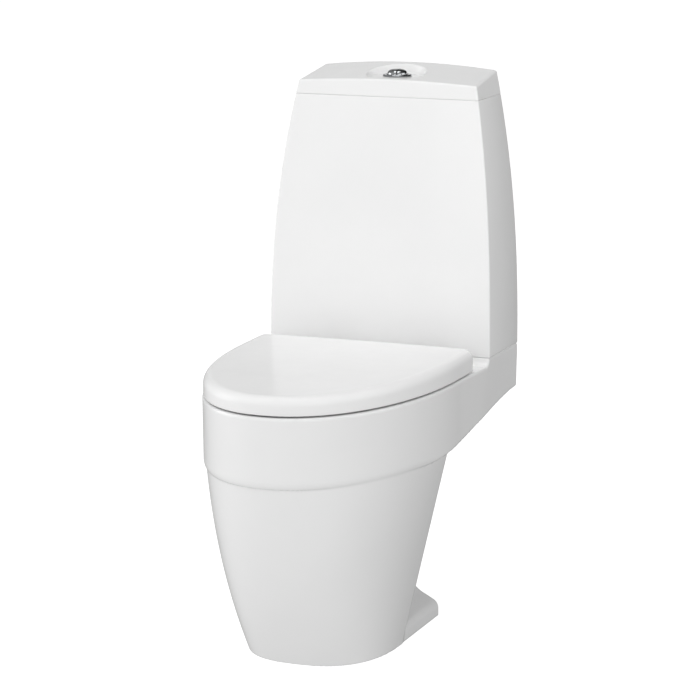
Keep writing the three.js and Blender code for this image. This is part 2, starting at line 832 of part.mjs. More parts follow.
for (const [name, side] of sides) {
  const bolt = group(toilet, side * boltX, fromWall(valveSetback), 0);
  const floorZ = cisternZ + floorH;
  const boltHead = floorZ + 4 + gap;
  const boltShape = join(
    solid(rod(9, boltHead, boltHead + 6, 6)),
    solid(rod(4, 358, boltHead + 1, 12)),
  );
  piece(bolt, `coupling_bolt_${name}`, geometryOf(boltShape), brass);
  piece(bolt, `coupling_seal_${name}`, ring(14, 4.3, floorZ, floorZ + 4, 14), rubber);
  piece(bolt, `coupling_plate_${name}`, ring(15, 4.3, -2, 0, 14), steel, 0, 0, deckUnderZ - gap);
  piece(bolt, `coupling_wing_nut_${name}`, wingNut(), brass, 0, 0, deckUnderZ - 2 - 2 * gap);

  const hinge = group(toilet, side * hingeX, fromWall(hingeSetback), rimZ);
  const under = deckUnderZ - rimZ;
  piece(hinge, `hinge_post_${name}`, hingePost(), chrome);
  piece(hinge, `hinge_pad_${name}`, ring(hingeBaseR, 4.6, gap, 1.2, 14), rubber);
  piece(hinge, `hinge_pin_${name}`, alongX(rod(4, -27.5, 27.5, 12)), steel, 0, 0, hingeZ - rimZ);
  piece(hinge, `hinge_stud_${name}`, rod(4, under - 26, 7.2, 12), steel);
  piece(hinge, `hinge_nut_${name}`, ring(13, 4.3, under - 14, under - gap, 14), whitePlastic);

  for (const [place, x, distance] of [["front", 72, 556], ["rear", 135, 262]]) {
    const under = group(seat, side * x, fromWall(distance), 0);
    piece(under, `seat_buffer_${place}_${name}`, rod(8, rimZ + gap, rimZ + 3.4, 12), softWhite);
  }
  const between = group(seat, side * 84, fromWall(530), 0);
  const bufferLow = rimZ + 3.7 + 18 + gap;
  const bufferTop = mix(coverLow, coverTop(fromWall(530)), 0.84) - 0.5;
  piece(between, `cover_buffer_${name}`, rod(7, bufferLow, bufferTop, 12), softWhite);

  const screw = group(toilet, side * screwX, fromWall(screwSetback), 0);
  piece(screw, `floor_screw_${name}`, floorScrew(), steel);
  const bush = ring(11, 3.7, screwSeatZ + gap, screwSeatZ + 2, 12);
  piece(screw, `floor_screw_bush_${name}`, bush, whitePlastic);
  piece(screw, `floor_screw_cap_${name}`, floorScrewCap(), whitePlastic);
}

export default toilet;
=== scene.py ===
"""Looks of a close coupled toilet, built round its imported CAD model.

Blender works in metres. The shapes here are written in millimetres in the part's own frame: +Z up,
-Y to the front, the wall behind at +Y, the floor at Z = 0.
"""

import json
import math
from itertools import chain

import bmesh
import bpy
import numpy as np
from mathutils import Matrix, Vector


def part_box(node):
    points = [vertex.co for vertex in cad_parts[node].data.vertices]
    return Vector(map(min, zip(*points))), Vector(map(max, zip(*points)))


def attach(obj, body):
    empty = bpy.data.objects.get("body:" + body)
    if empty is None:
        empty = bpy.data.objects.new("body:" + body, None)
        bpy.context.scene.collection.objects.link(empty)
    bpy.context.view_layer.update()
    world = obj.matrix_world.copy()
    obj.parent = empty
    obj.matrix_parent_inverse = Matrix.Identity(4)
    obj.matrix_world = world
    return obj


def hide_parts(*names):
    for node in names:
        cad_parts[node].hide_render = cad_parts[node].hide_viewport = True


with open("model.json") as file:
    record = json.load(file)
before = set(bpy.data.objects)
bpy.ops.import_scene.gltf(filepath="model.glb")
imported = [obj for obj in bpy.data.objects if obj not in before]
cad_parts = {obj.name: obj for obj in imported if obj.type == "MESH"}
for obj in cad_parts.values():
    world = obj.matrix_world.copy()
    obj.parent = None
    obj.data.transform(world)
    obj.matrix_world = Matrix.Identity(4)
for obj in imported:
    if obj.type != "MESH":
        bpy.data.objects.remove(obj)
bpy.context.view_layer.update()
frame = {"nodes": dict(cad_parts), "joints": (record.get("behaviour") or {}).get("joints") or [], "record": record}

MM = 0.001
record = frame["record"]
body_of = {n: b for b, nodes in record["behaviour"]["bodies"].items() for n in nodes}
slot_of = {part["node"]: part["material_slot"] for part in record["subparts"]}
hinge_at = next(j for j in frame["joints"] if j["name"] == "seat_hinge")["pos_m"]


# ---- Places, read from the frame ----
def low(node):
    return np.array(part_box(node)[0]) / MM


def high(node):
    return np.array(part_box(node)[1]) / MM


def centre(node):
    return (low(node) + high(node)) / 2


GAP = 0.3  # clearance between pieces that rest on each other
WALL = high("pan")[1]
DEPTH = WALL - low("pan")[1]  # wall to the front of the rim
RIM_Z = low("seat_buffer_front_right")[2] - GAP
CISTERN_Z = low("cistern")[2]
SEAM_Z = high("cistern")[2] + GAP
FLUSH_Y = centre("flush_lift_tube")[1]
FILL_X, FILL_Y = centre("float_cup")[:2]
BOLT_X = centre("coupling_bolt_right")[0]
HINGE_X = centre("hinge_stud_right")[0]
HINGE_Y = hinge_at[1] / MM
HINGE_Z = hinge_at[2] / MM
SCREW_X, SCREW_Y = centre("floor_screw_right")[:2]
BEZEL_Z = high("button_bezel")[2] - 3.2  # floor of the scoop in the cistern's lid, under the bezel
SCOOP_Y = FLUSH_Y - 8  # the scoop reaches further ahead of the buttons than behind them

# ---- Driving dimensions ----
RIM_HALF = 180
RIM_MIDDLE = 268.7  # wall to where the band's straight sides meet its rounded front
NOSE = 2.14  # power of the rim's superelliptic front
BAND_Z = 294  # lower edge of the band at the front
SHELF_RISE = 48.5  # how far that edge climbs on its way back to the wall
ABOVE_PAN = 420  # a height clear of the pan, where cuts through its top end
BODY_TOP_Z = 300
BODY_TOP_HALF, BODY_FOOT_HALF = 171.6, 112.6  # half widths of the tapered body under the band
BODY_TOP_FRONT = 592.5  # wall to the body's front at its top
BODY_LEAN = 112.5  # how far that front falls back on its way to the floor
CASTING_WALL = 13
LINING_WALL = 11  # china round the bowl and the trap
HEEL_HALF, HEEL_BACK = 111.5, 159  # half width, and wall to its back
SPINE_HALF, SPINE_BACK, SPINE_TOP = 50, 140, 256
OUTLET_Z, OUTLET_RADIUS = 180, 51
OUTLET_END = 75  # wall to the end of the spigot
TRAP_RADIUS = 38

CISTERN_HALF, CISTERN_DEPTH = 183.2, 137.6  # at its foot
SIDE_TAPER, SIDE_TAPER_RISE = 38.7, 426  # each side has moved in by the first at the second's height
FRONT_TAPER, FRONT_TAPER_RISE = 32.3, 414
CHINA_WALL = 9
FLUSH_HOLE, FILL_HOLE, BOLT_HOLE = 31.5, 11.5, 6  # radii of the holes in the cistern's floor
LID_FRONT_Z, LID_BACK_Z = 825.5, 841  # top of the lid at its sides
LID_FRONT_CROWN, LID_BACK_CROWN = 5, 8.5  # how much higher it is in the middle
LID_CEILING_Z = 814
LIP_LOW_Z, LIP_HIGH_Z = 790, 816
SCOOP_RADIUS = 41  # of its flat floor
BUTTON_HOLE = 20.5

BUTTON_RADIUS, DOME_RISE = 16, 8
DOME_POWER = 3.4  # more than 2 flattens the dome's top
CAD_DOME_RISE = 6  # the dome stands a little taller here than on the solid
SPLIT_X, SPLIT_HALF_GAP = 4, 0.5  # between the larger and the smaller flush button

COVER_HALF = RIM_HALF - 1.5
COVER_BACK = 188  # wall to the back of the seat's cover
COVER_REAR_Z, COVER_FRONT_Z = 436.5, 429.5
COVER_WALL, COVER_THICKNESS = 5, 5.4  # of its rim and its top
COVER_EDGE = 14  # radius of the edge round its top
REAR_ARC = 17  # radius round the hinge; the cover's rear lower edge is cut away beyond it
PANEL_MIDDLE = 270  # as RIM_MIDDLE, for the seat's ring and cover
RING_INSET, RING_THICKNESS = 11, 18
COVER_LUG_X, RING_LUG_X = 58, 98
LUG_RADIUS, PIN_HOLE = 8.5, 4.4


def from_wall(distance):
    return WALL - distance


def mix(a, b, t):
    return a + (b - a) * t


def smooth(t):
    t = np.clip(t, 0, 1)
    return t * t * (3 - 2 * t)


def through(at, points):
    """A smooth curve through (place, value) points, level beyond both ends."""
    place, value = np.array(sorted(points), float).T
    slope = np.gradient(value, place)
    at = np.clip(at, place[0], place[-1])
    i = np.clip(np.searchsorted(place, at) - 1, 0, len(place) - 2)
    span = place[i + 1] - place[i]
    t = (at - place[i]) / span
    ends = (2 * t**3 - 3 * t**2 + 1) * value[i] + (3 * t**2 - 2 * t**3) * value[i + 1]
    lean = (t**3 - 2 * t**2 + t) * slope[i] + (t**3 - t**2) * slope[i + 1]
    return ends + span * lean


# ---- Fields: about the distance in millimetres to a shape's surface, negative inside it ----
def both(a, b, radius=0.0):
    """What two shapes share, with the edge between them rounded."""
    corner = np.hypot(np.maximum(a + radius, 0), np.maximum(b + radius, 0))
    return np.minimum(np.maximum(a, b), -radius) + corner


def either(a, b, radius=0.0):
    """Two shapes together, with a fillet where they meet."""
    return -both(-a, -b, radius)


def without(a, b, radius=0.0):
    """The first shape with the second one cut out of it."""
    return both(a, -b, radius)


def egg(x, y, half, front, middle, rear, nose, tail=2.0):
    """A plan outline of two superelliptic ends that meet at its widest place."""
    ahead = y < middle
    length = np.where(ahead, middle - front, rear - middle)
    power = np.where(ahead, nose, tail)
    u = np.maximum(np.abs(x) / half, 1e-6)
    v = np.maximum(np.abs(y - middle) / length, 1e-6)
    size = (u**power + v**power) ** (1 / power)
    slope = np.hypot(u ** (power - 1) / half, v ** (power - 1) / length) * size ** (1 - power)
    return (size - 1) / slope


def tub(x, y, half, front, middle, rear, nose, corner):
    """A plan outline with a superelliptic nose, straight sides and a flat back."""
    nose_end = egg(x, y, half, front, middle, middle + 1, nose)
    return np.where(y < middle, nose_end, both(np.abs(x) - half, y - rear, corner))


def box(x, y, z, lows, highs, radius=0.0):
    """A box with rounded edges."""
    sides = [both(low_side - p, p - high_side) for p, low_side, high_side in zip((x, y, z), lows, highs)]
    return both(both(sides[0], sides[1], radius), sides[2], radius)


def upright(x, y, z, at, radius, bottom, top, edge=0.0):
    """A cylinder about a vertical axis."""
    return both(np.hypot(x - at[0], y - at[1]) - radius, both(bottom - z, z - top), edge)


def crosswise(x, y, z, at, radius, half_length, edge=0.0):
    """A cylinder along X."""
    return both(np.hypot(y - at[1], z - at[2]) - radius, np.abs(x - at[0]) - half_length, edge)


# ---- Meshes from fields ----
CORNERS = np.array([(i, j, k) for i in (0, 1) for j in (0, 1) for k in (0, 1)])
EDGES = [(a, b) for a in range(8) for b in range(a + 1, 8) if abs(CORNERS[a] - CORNERS[b]).sum() == 1]
TETRAHEDRON = np.array([(1, 1, 1), (1, -1, -1), (-1, 1, -1), (-1, -1, 1)])


def slide(field, points, times=1):
    """Moves points straight onto the field's surface, and returns them with their normals."""
    reach = 0.02
    flattest = 0.05
    furthest = 1.5
    for _ in range(times):
        around = [field(*(points + reach * corner).T) for corner in TETRAHEDRON]
        value = sum(around) / 4
        normal = sum(v[:, None] * corner for v, corner in zip(around, TETRAHEDRON)) / (4 * reach)
        steep = np.maximum((normal**2).sum(1), flattest)[:, None]
        points = points - np.clip(normal * value[:, None] / steep, -furthest, furthest)
    return points, normal / np.sqrt(steep)


def settle(field, points, faces, rounds=2):
    """Evens out a mesh's spacing along the surface."""
    links = np.concatenate([faces[:, [i, (i + 1) % 4]] for i in range(4)])
    links = np.concatenate([links, links[:, ::-1]])
    count = np.bincount(links[:, 0], minlength=len(points))[:, None]
    points, normal = slide(field, points)
    for _ in range(rounds):
        sums = [np.bincount(links[:, 0], points[links[:, 1], axis], len(points)) for axis in range(3)]
        move = 0.5 * (np.stack(sums, 1) / count - points)
        move -= normal * (move * normal).sum(1)[:, None]
        points, normal = slide(field, points + move)
    return slide(field, points)[0]


def crossed_cells(value, cells):
    """Which cells of a grid the surface passes through, and a point on it in each, counted in cells."""
    window = [tuple(slice(c, c + n) for c, n in zip(corner, cells)) for corner in CORNERS]
    filled = sum((value[w] < 0).astype(np.int8) for w in window)
    cut = (filled > 0) & (filled < 8)
    at_corner = [value[w][cut].astype(float) for w in window]
    total = np.zeros((cut.sum(), 3))
    crossings = np.zeros(cut.sum())
    for a, b in EDGES:
        crossed = (at_corner[a] < 0) != (at_corner[b] < 0)
        share = np.where(crossed, at_corner[a] / np.where(crossed, at_corner[a] - at_corner[b], 1), 0)
        total += crossed[:, None] * (CORNERS[a] + share[:, None] * (CORNERS[b] - CORNERS[a]))
        crossings += crossed
    return cut, np.argwhere(cut) + total / crossings[:, None]


def edge_faces(inside, cells, number):
    """One four-sided face for each edge of the grid that the surface crosses, from its cells' numbers."""
    faces = []
    for axis in range(3):
        one, two = (axis + 1) % 3, (axis + 2) % 3
        first = inside.take(range(cells[axis]), axis)
        second = inside.take(range(1, cells[axis] + 1), axis)
        edge = np.argwhere(first != second)
        leaving = first[tuple(edge.T)]
        ring = []
        for d1, d2 in ((0, 0), (-1, 0), (-1, -1), (0, -1)):
            cell = edge.copy()
            cell[:, one] += d1
            cell[:, two] += d2
            ring.append(number[tuple(cell.T)])
        ring = np.stack(ring, 1)
        faces.append(np.where(leaving[:, None], ring, ring[:, ::-1]))
    return np.concatenate(faces)


def skin(field, lows, highs, step):
    """The field's surface as (points, faces): one vertex in each cell of a grid that it passes through."""
    before, after = 1.37, 2.37  # cells of margin, uneven so that flat faces miss the grid's planes
    axes = [np.arange(a - before * step, b + after * step, step) for a, b in zip(lows, highs)]
    value = field(*np.meshgrid(*axes, indexing="ij", sparse=True)).astype(np.float32)
    cells = tuple(n - 1 for n in value.shape)
    cut, place = crossed_cells(value, cells)
    number = np.full(cells, -1)
    number[cut] = np.arange(cut.sum())
    faces = edge_faces(value < 0, cells, number)
    start = np.array([axis[0] for axis in axes])
    return settle(field, start + step * place, faces), faces


def make(name, points, faces, sharp=None):
    """A Blender object from points in millimetres, smooth but for edges sharper than so many degrees."""
    mesh = bpy.data.meshes.new(name)
    mesh.from_pydata((np.asarray(points) * MM).tolist(), [], [list(f) for f in faces])
    mesh.validate()
    mesh.shade_smooth()
    if sharp is not None:
        mesh.set_sharp_from_angle(angle=math.radians(sharp))
    piece = bpy.data.objects.new(name, mesh)
    bpy.context.scene.collection.objects.link(piece)
    return piece


def from_field(name, field, lows, highs, step):
    return make(name, *skin(field, lows, highs, step))


def lathe(name, profile, at, segments=72, sharp=32):
    """A turned piece about a vertical axis, from (radius, height) pairs."""
    rim = [p for p in profile if p[0] > 0]
    closed = profile[0] == profile[-1]
    if closed:
        rim = rim[:-1]
    turn = np.arange(segments) * 2 * math.pi / segments
    points = [(at[0] + r * math.cos(a), at[1] + r * math.sin(a), at[2] + z) for r, z in rim for a in turn]
    faces = []
    for i in range(len(rim) if closed else len(rim) - 1):
        here, above = i * segments, (i + 1) % len(rim) * segments
        for k in range(segments):
            k1 = (k + 1) % segments
            faces.append((here + k, here + k1, above + k1, above + k))
    if not closed:
        faces.append(tuple(reversed(range(segments))))
        faces.append(tuple(range((len(rim) - 1) * segments, len(rim) * segments)))
    piece = make(name, points, faces, sharp)
    outward(piece)
    return piece


def outward(piece):
    """Turns a closed mesh's faces to point out."""
    work = bmesh.new()
    work.from_mesh(piece.data)
    bmesh.ops.recalc_face_normals(work, faces=work.faces)
    work.to_mesh(piece.data)
    work.free()


# ---- Materials ----
def noise(nodes, links, coordinates, scale, detail):
    made = nodes.new("ShaderNodeTexNoise")
    made.inputs["Scale"].default_value = scale
    made.inputs["Detail"].default_value = detail
    links.new(coordinates, made.inputs["Vector"])
    return made.outputs["Fac"]


def ranged(nodes, links, value, low_value, high_value):
    made = nodes.new("ShaderNodeMapRange")
    made.inputs["From Min"].default_value = 0.3
    made.inputs["From Max"].default_value = 0.7
    made.inputs["To Min"].default_value = low_value
    made.inputs["To Max"].default_value = high_value
    links.new(value, made.inputs["Value"])
    return made.outputs["Result"]


def finish(
    name, dark, light, roughness, grain, mottle, metal=0.0, coat=0.0, specular=0.5, stretch=(1, 1, 1)
):
    """A surface whose colour drifts between two tones, with its own roughness range and grain.

    mottle is how many patches of tone there are to a metre, grain is (features per metre, depth in
    millimetres), and stretch draws the grain out along an axis.
    """
    made = bpy.data.materials.new(name)
    made.use_nodes = True
    nodes, links = made.node_tree.nodes, made.node_tree.links
    shader = nodes["Principled BSDF"]
    shader.inputs["Metallic"].default_value = metal
    shader.inputs["Specular IOR Level"].default_value = specular
    shader.inputs["Coat Weight"].default_value = coat
    shader.inputs["Coat Roughness"].default_value = 0.04
    place = nodes.new("ShaderNodeTexCoord").outputs["Object"]
    drawn = nodes.new("ShaderNodeMapping")
    drawn.inputs["Scale"].default_value = stretch
    links.new(place, drawn.inputs["Vector"])
    tone = nodes.new("ShaderNodeMix")
    tone.data_type = "RGBA"
    tone.inputs["A"].default_value = (*dark, 1)
    tone.inputs["B"].default_value = (*light, 1)
    drift = noise(nodes, links, place, mottle, 3)
    links.new(ranged(nodes, links, drift, 0, 1), tone.inputs["Factor"])
    links.new(tone.outputs["Result"], shader.inputs["Base Color"])
    wear = noise(nodes, links, place, mottle * 4, 4)
    links.new(ranged(nodes, links, wear, *roughness), shader.inputs["Roughness"])
    bump = nodes.new("ShaderNodeBump")
    bump.inputs["Distance"].default_value = grain[1] * MM
    links.new(noise(nodes, links, drawn.outputs["Vector"], grain[0], 2), bump.inputs["Height"])
    links.new(bump.outputs["Normal"], shader.inputs["Normal"])
    if coat:
        links.new(bump.outputs["Normal"], shader.inputs["Coat Normal"])
    return made


MATERIALS = {
    "china": finish(
        "glazed_china",
        (0.877, 0.878, 0.877),
        (0.893, 0.893, 0.892),
        (0.20, 0.24),
        (160, 0.003),
        9,
        coat=0.12,
        specular=0.35,
    ),
    "duroplast": finish(
        "polished_duroplast",
        (0.884, 0.885, 0.884),
        (0.90, 0.90, 0.899),
        (0.15, 0.19),
        (200, 0.002),
        14,
        specular=0.12,
    ),
    "chrome": finish(
        "chrome_plate", (0.36, 0.37, 0.38), (0.44, 0.45, 0.46), (0.04, 0.08), (300, 0.002), 60, metal=1
    ),
    "steel": finish(
        "zinc_steel",
        (0.46, 0.47, 0.49),
        (0.62, 0.63, 0.64),
        (0.28, 0.42),
        (900, 0.01),
        90,
        metal=1,
        stretch=(1, 1, 0.1),
    ),
    "brass": finish(
        "turned_brass", (0.52, 0.39, 0.17), (0.68, 0.53, 0.26), (0.22, 0.38), (700, 0.012), 80, metal=1
    ),
    "rubber": finish(
        "moulded_rubber", (0.018, 0.018, 0.02), (0.035, 0.035, 0.037), (0.6, 0.8), (900, 0.05), 50
    ),
    "buffer": finish("soft_buffer", (0.78, 0.78, 0.77), (0.84, 0.84, 0.83), (0.45, 0.6), (600, 0.02), 70),
    "white_plastic": finish(
        "white_moulding", (0.78, 0.78, 0.775), (0.84, 0.84, 0.835), (0.3, 0.42), (500, 0.02), 40
    ),
    "blue_plastic": finish(
        "blue_moulding", (0.045, 0.13, 0.33), (0.06, 0.17, 0.40), (0.3, 0.42), (500, 0.02), 40
    ),
    "grey_plastic": finish(
        "grey_moulding", (0.20, 0.21, 0.22), (0.26, 0.27, 0.28), (0.35, 0.48), (500, 0.02), 40
    ),
}


def stand_for(piece, node):
    """The piece takes a CAD node's place: its body, material slot and finish."""
    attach(piece, body_of[node])
    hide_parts(node)
    piece.data.materials.clear()
    piece.data.materials.append(MATERIALS[slot_of[node]])
    return piece


# ---- Cistern shape, shared by the pan's plinth, the cistern and its lid ----
def cistern_half(rise):
    """Half the cistern's width at a rise above its foot."""
    return CISTERN_HALF - SIDE_TAPER * (np.maximum(rise, 0) / SIDE_TAPER_RISE) ** 2.3


def cistern_depth(rise):
    """The wall to the cistern's front at a rise above its foot."""
    return CISTERN_DEPTH - FRONT_TAPER * (np.maximum(rise, 0) / FRONT_TAPER_RISE) ** 2


def cistern_outline(x, y, rise, inset=0.0):
    """The cistern's outline in plan at a rise above its foot."""
    sides = np.abs(x) - cistern_half(rise) + inset
    front = from_wall(cistern_depth(rise)) + inset - y
    return both(both(sides, front, 2.5), y - WALL + inset, 1.5)


# ---- Pan ----
def band_edge(y):
    """Height of the band's lower edge, which climbs towards the wall."""
    return BAND_Z + SHELF_RISE * smooth((y - from_wall(376)) / 398)


def band(x, y, z):
    """The band round the bowl, which runs back as the shelf under the cistern."""
    edge = band_edge(y)
    rise = np.clip((z - edge) / (RIM_Z - edge), 0, 1)
    middle = from_wall(RIM_MIDDLE)
    widen = smooth((y - middle) / 130) * (cistern_half(0) - RIM_HALF - 0.6)
    half = mix(RIM_HALF - 1, RIM_HALF, rise) + widen
    front = from_wall(DEPTH - 1.5 * np.clip(1 - rise / 0.965, 0, 1))
    side = tub(x, y, half, front, middle, WALL, NOSE, 2)
    under = (edge - z) * 0.55  # less than the true distance, which draws the rounded edge out upwards
    under_round = mix(6.5, 1.5, smooth((y - from_wall(420)) / 130))
    return both(both(side, z - RIM_Z, 3.5), under, under_round)


def bucket(x, y, z, thin=0.0):
    """The tapered body under the band, egg-shaped in plan."""
    u = np.clip(1 - z / BODY_TOP_Z, 0, 1)
    half = mix(BODY_TOP_HALF, BODY_FOOT_HALF, u) - thin
    front = from_wall(BODY_TOP_FRONT - BODY_LEAN * u**2) + thin
    middle = from_wall(mix(295, 331, u))
    rear = middle + mix(70, 50, u) - thin
    return egg(x, y, half, front, middle, rear, mix(2.18, 2.55, u))


def heel(x, y, z):
    """The low heel behind the body, with a top that falls away from the spine."""
    side = np.abs(x)
    fall = math.atan2(17.6, 33)
    slope = (side - 102) * math.sin(fall) + (z - 26.9) * math.cos(fall)
    section = both(side - HEEL_HALF, slope, 8)
    return both(both(section, y - from_wall(HEEL_BACK), 5), from_wall(345) - y)


def spine(x, y, z):
    """The upright spine that holds the trap, with the outlet spigot on its back."""
    column = both(np.abs(x) - SPINE_HALF, y - from_wall(SPINE_BACK), 22)
    column = both(both(column, z - SPINE_TOP, 26), from_wall(322) - y)
    ends = both(from_wall(200) - y, y - from_wall(OUTLET_END))
    spigot = both(np.hypot(x, z - OUTLET_Z) - OUTLET_RADIUS, ends, 2.5)
    return either(column, spigot, 5)


COVE = [
    # height, distance from the wall
    (397, 150),
    (400, 146.5),
    (402.5, 142.6),
    (405.5, 139.8),
    (408.5, 138.2),
    (411.2, 137.4),
]


def plinth(x, y, z):
    """The raised pad under the cistern, with a cove where its front meets the deck."""
    front = from_wall(through(z, COVE)) - y
    sides = both(both(np.abs(x) - cistern_half(0) + 0.6, front, 2.5), y - WALL, 1.5)
    return both(both(sides, z - CISTERN_Z + GAP, 1), 392 - z)


BOWL = [
    # height, half width, and distances of front, middle and rear from the wall
    (402, 118, 543, 400, 252),
    (366, 117, 542, 400, 253),
    (354, 127, 552, 400, 244),
    (300, 122, 545, 394, 251),
    (225, 95, 510, 376, 261),
    (150, 63, 455, 355, 274),
    (80, 38, 388, 340, 294),
    (42, 24, 370, 336, 304),
]


def bowl(x, y, z, wall=0.0):
    """The bowl's hollow, or with a wall round it, down to the sump."""
    half, front, middle, rear = (through(z, [(level[0], level[i]) for level in BOWL]) for i in range(1, 5))
    ends = from_wall(front + wall), from_wall(middle), from_wall(rear - wall)
    return both(egg(x, y, half + wall, *ends, 2.1), BOWL[-1][0] - wall - z, 14)


TRAP = [
    # distance from the wall, height
    (338, 80),
    (300, 80),
    (262, 105),
    (232, 160),
    (196, 203),
    (158, 194),
    (120, 182),
    (60, 180),
]


def trap_line():
    """Points along the middle of the water way, from the sump over the weir to the outlet."""
    steps = np.linspace(0, len(TRAP) - 1, 29)
    distance = through(steps, [(i, p[0]) for i, p in enumerate(TRAP)])
    height = through(steps, [(i, p[1]) for i, p in enumerate(TRAP)])
    return list(zip(from_wall(distance), height))


def trap(x, y, z, radius):
    """A pipe of this radius along the water way."""
    nearest = np.inf
    line = trap_line()
    for (y0, z0), (y1, z1) in zip(line, line[1:]):
        length = (y1 - y0) ** 2 + (z1 - z0) ** 2
        t = np.clip(((y - y0) * (y1 - y0) + (z - z0) * (z1 - z0)) / length, 0, 1)
        nearest = np.minimum(nearest, np.hypot(y - y0 - t * (y1 - y0), z - z0 - t * (z1 - z0)))
    return np.hypot(x, nearest) - radius


def water_hollows(x, y, z):
    """Where the water runs in the pan, each hollow with the rounding of its edge."""
    flush_hole = (0, FLUSH_Y)
    yield bowl(x, y, z), 5
    yield trap(x, y, z, TRAP_RADIUS), 2
    yield upright(x, y, z, flush_hole, 55, RIM_Z - 4.5, ABOVE_PAN), 0  # seat of the gasket
    yield upright(x, y, z, flush_hole, 33, 366, ABOVE_PAN), 0  # well under the flush valve
    yield box(x, y, z, (-26, from_wall(252), 352), (26, FLUSH_Y + 26, 384), 4), 0  # from well to bowl


def fixing_hollows(x, y, z):
    """The pockets under the shelf and the holes for pipes, bolts and screws, each with its edge."""
    side = np.abs(x)
    yield box(side, y, z, (34, from_wall(219), 250), (165, from_wall(15), 384), 10), 2  # pockets
    yield upright(x, y, z, (FILL_X, FILL_Y), 26, 340, ABOVE_PAN), 0  # inlet
    yield upright(side, y, z, (BOLT_X, FLUSH_Y), 6.5, 340, ABOVE_PAN), 0  # coupling bolts
    yield upright(side, y, z, (HINGE_X, HINGE_Y), 7, 340, ABOVE_PAN), 0  # hinge studs
    yield upright(side, y, z, (SCREW_X, SCREW_Y), 4.6, -5, 60), 0  # floor screws
    yield upright(side, y, z, (SCREW_X, SCREW_Y), 13, 30, 80), 1  # room for their caps


def pan_field(x, y, z):
    """The whole pan: a hollow body under the band, its lining, the heel and spine, and the plinth."""
    front = either(band(x, y, z), both(bucket(x, y, z), z - 320), 0.8)
    casting = both(bucket(x, y, z, CASTING_WALL), z - 384, 12)
    lining = either(bowl(x, y, z, LINING_WALL), trap(x, y, z, TRAP_RADIUS + LINING_WALL), 8)
    body = without(front, without(casting, lining, 6), 3)
    back = either(heel(x, y, z), spine(x, y, z), 34)
    body = either(either(body, back, 3.5), plinth(x, y, z))
    for hollow, edge in chain(water_hollows(x, y, z), fixing_hollows(x, y, z)):
        body = without(body, hollow, edge)
    return both(body, -z, 1.5)


def pan():
    piece = from_field("pan_casting", pan_field, low("pan"), high("pan"), 2.6)
    stand_for(piece, "pan")


# ---- Cistern ----
def rounded_ring(half, front, back, radius, steps=5):
    """A rounded rectangle in plan, anticlockwise from the right-hand front corner."""
    points = []
    corners = [(half, front, -90), (half, back, 0), (-half, back, 90), (-half, front, 180)]
    for x, y, start in corners:
        middle = (x - math.copysign(radius, x), y - math.copysign(radius, y - (front + back) / 2))
        for i in range(steps + 1):
            a = math.radians(start + 90 * i / steps)
            points.append((middle[0] + radius * math.cos(a), middle[1] + radius * math.sin(a)))
    return points


def cistern_ring(rise, inset):
    """The outline of a cistern wall in plan, inset from the outside, as points at one rise."""
    half = cistern_half(rise) - inset
    front = from_wall(cistern_depth(rise)) + inset
    corner = max(0.8, 2.5 - inset) if inset < 4 else 6.0  # rounder on the inside of the wall
    ring = rounded_ring(half, front, WALL - inset, corner)
    return [(x, y, CISTERN_Z + rise) for x, y in ring]


def quarter(count=4):
    """Shares of a rounded edge: how far in and how far down, from flat to upright."""
    return [(1 - math.sin(a), 1 - math.cos(a)) for a in np.linspace(0, math.pi / 2, count + 1)]


def cistern_section():
    """(rise, inset) pairs: up the outside of the cistern, over its lip and down the inside."""
    top = SEAM_Z - GAP - CISTERN_Z
    floor, cove = 13.5, 12
    foot_round, lip_round = 2.2, 0.3
    outer_levels, inner_levels = 46, 40
    path = [(foot_round * down, foot_round * in_) for in_, down in quarter()]
    path += [(rise, 0) for rise in np.linspace(8, top - 6, outer_levels)]
    path += [(top - lip_round * down, lip_round * in_) for in_, down in reversed(quarter())]
    path += [(top - lip_round * down, CHINA_WALL - lip_round * in_) for in_, down in quarter()]
    path += [(rise, CHINA_WALL) for rise in np.linspace(top - 6, floor + cove + 6, inner_levels)]
    path += [(floor + cove * down, CHINA_WALL + cove * in_) for in_, down in reversed(quarter())]
    return path


def loft(name, rings, sharp):
    """A closed mesh through a stack of rings that all have as many points."""
    around = len(rings[0])
    faces = [tuple(reversed(range(around)))]
    for i in range(len(rings) - 1):
        for k in range(around):
            k1 = (k + 1) % around
            faces.append((i * around + k, i * around + k1, (i + 1) * around + k1, (i + 1) * around + k))
    faces.append(tuple(range((len(rings) - 1) * around, len(rings) * around)))
    piece = make(name, [p for ring in rings for p in ring], faces, sharp)
    outward(piece)
    return piece


def cistern():
    piece = loft("cistern_shell", [cistern_ring(rise, inset) for rise, inset in cistern_section()], 40)
    holes = [((0, FLUSH_Y), FLUSH_HOLE), ((FILL_X, FILL_Y), FILL_HOLE)]
    holes += [((side * BOLT_X, FLUSH_Y), BOLT_HOLE) for side in (-1, 1)]
    for at, radius in holes:
        drill(piece, at, radius, CISTERN_Z - 10, CISTERN_Z + 30)
    stand_for(piece, "cistern")


def drill(piece, at, radius, bottom, top):
    """Cuts a vertical hole."""
    profile = [(0, bottom), (radius, bottom), (radius, top), (0, top)]
    cut_with(piece, lathe("drill", profile, (at[0], at[1], 0), 48))


def cut_with(piece, tool):
    """Takes one closed mesh out of another."""
    cut = piece.modifiers.new("cut", "BOOLEAN")
    cut.operation = "DIFFERENCE"
    cut.solver = "EXACT"
    cut.object = tool
    graph = bpy.context.evaluated_depsgraph_get()
    made = bpy.data.meshes.new_from_object(piece.evaluated_get(graph))
    piece.modifiers.clear()
    piece.data = made
    bpy.data.objects.remove(tool)


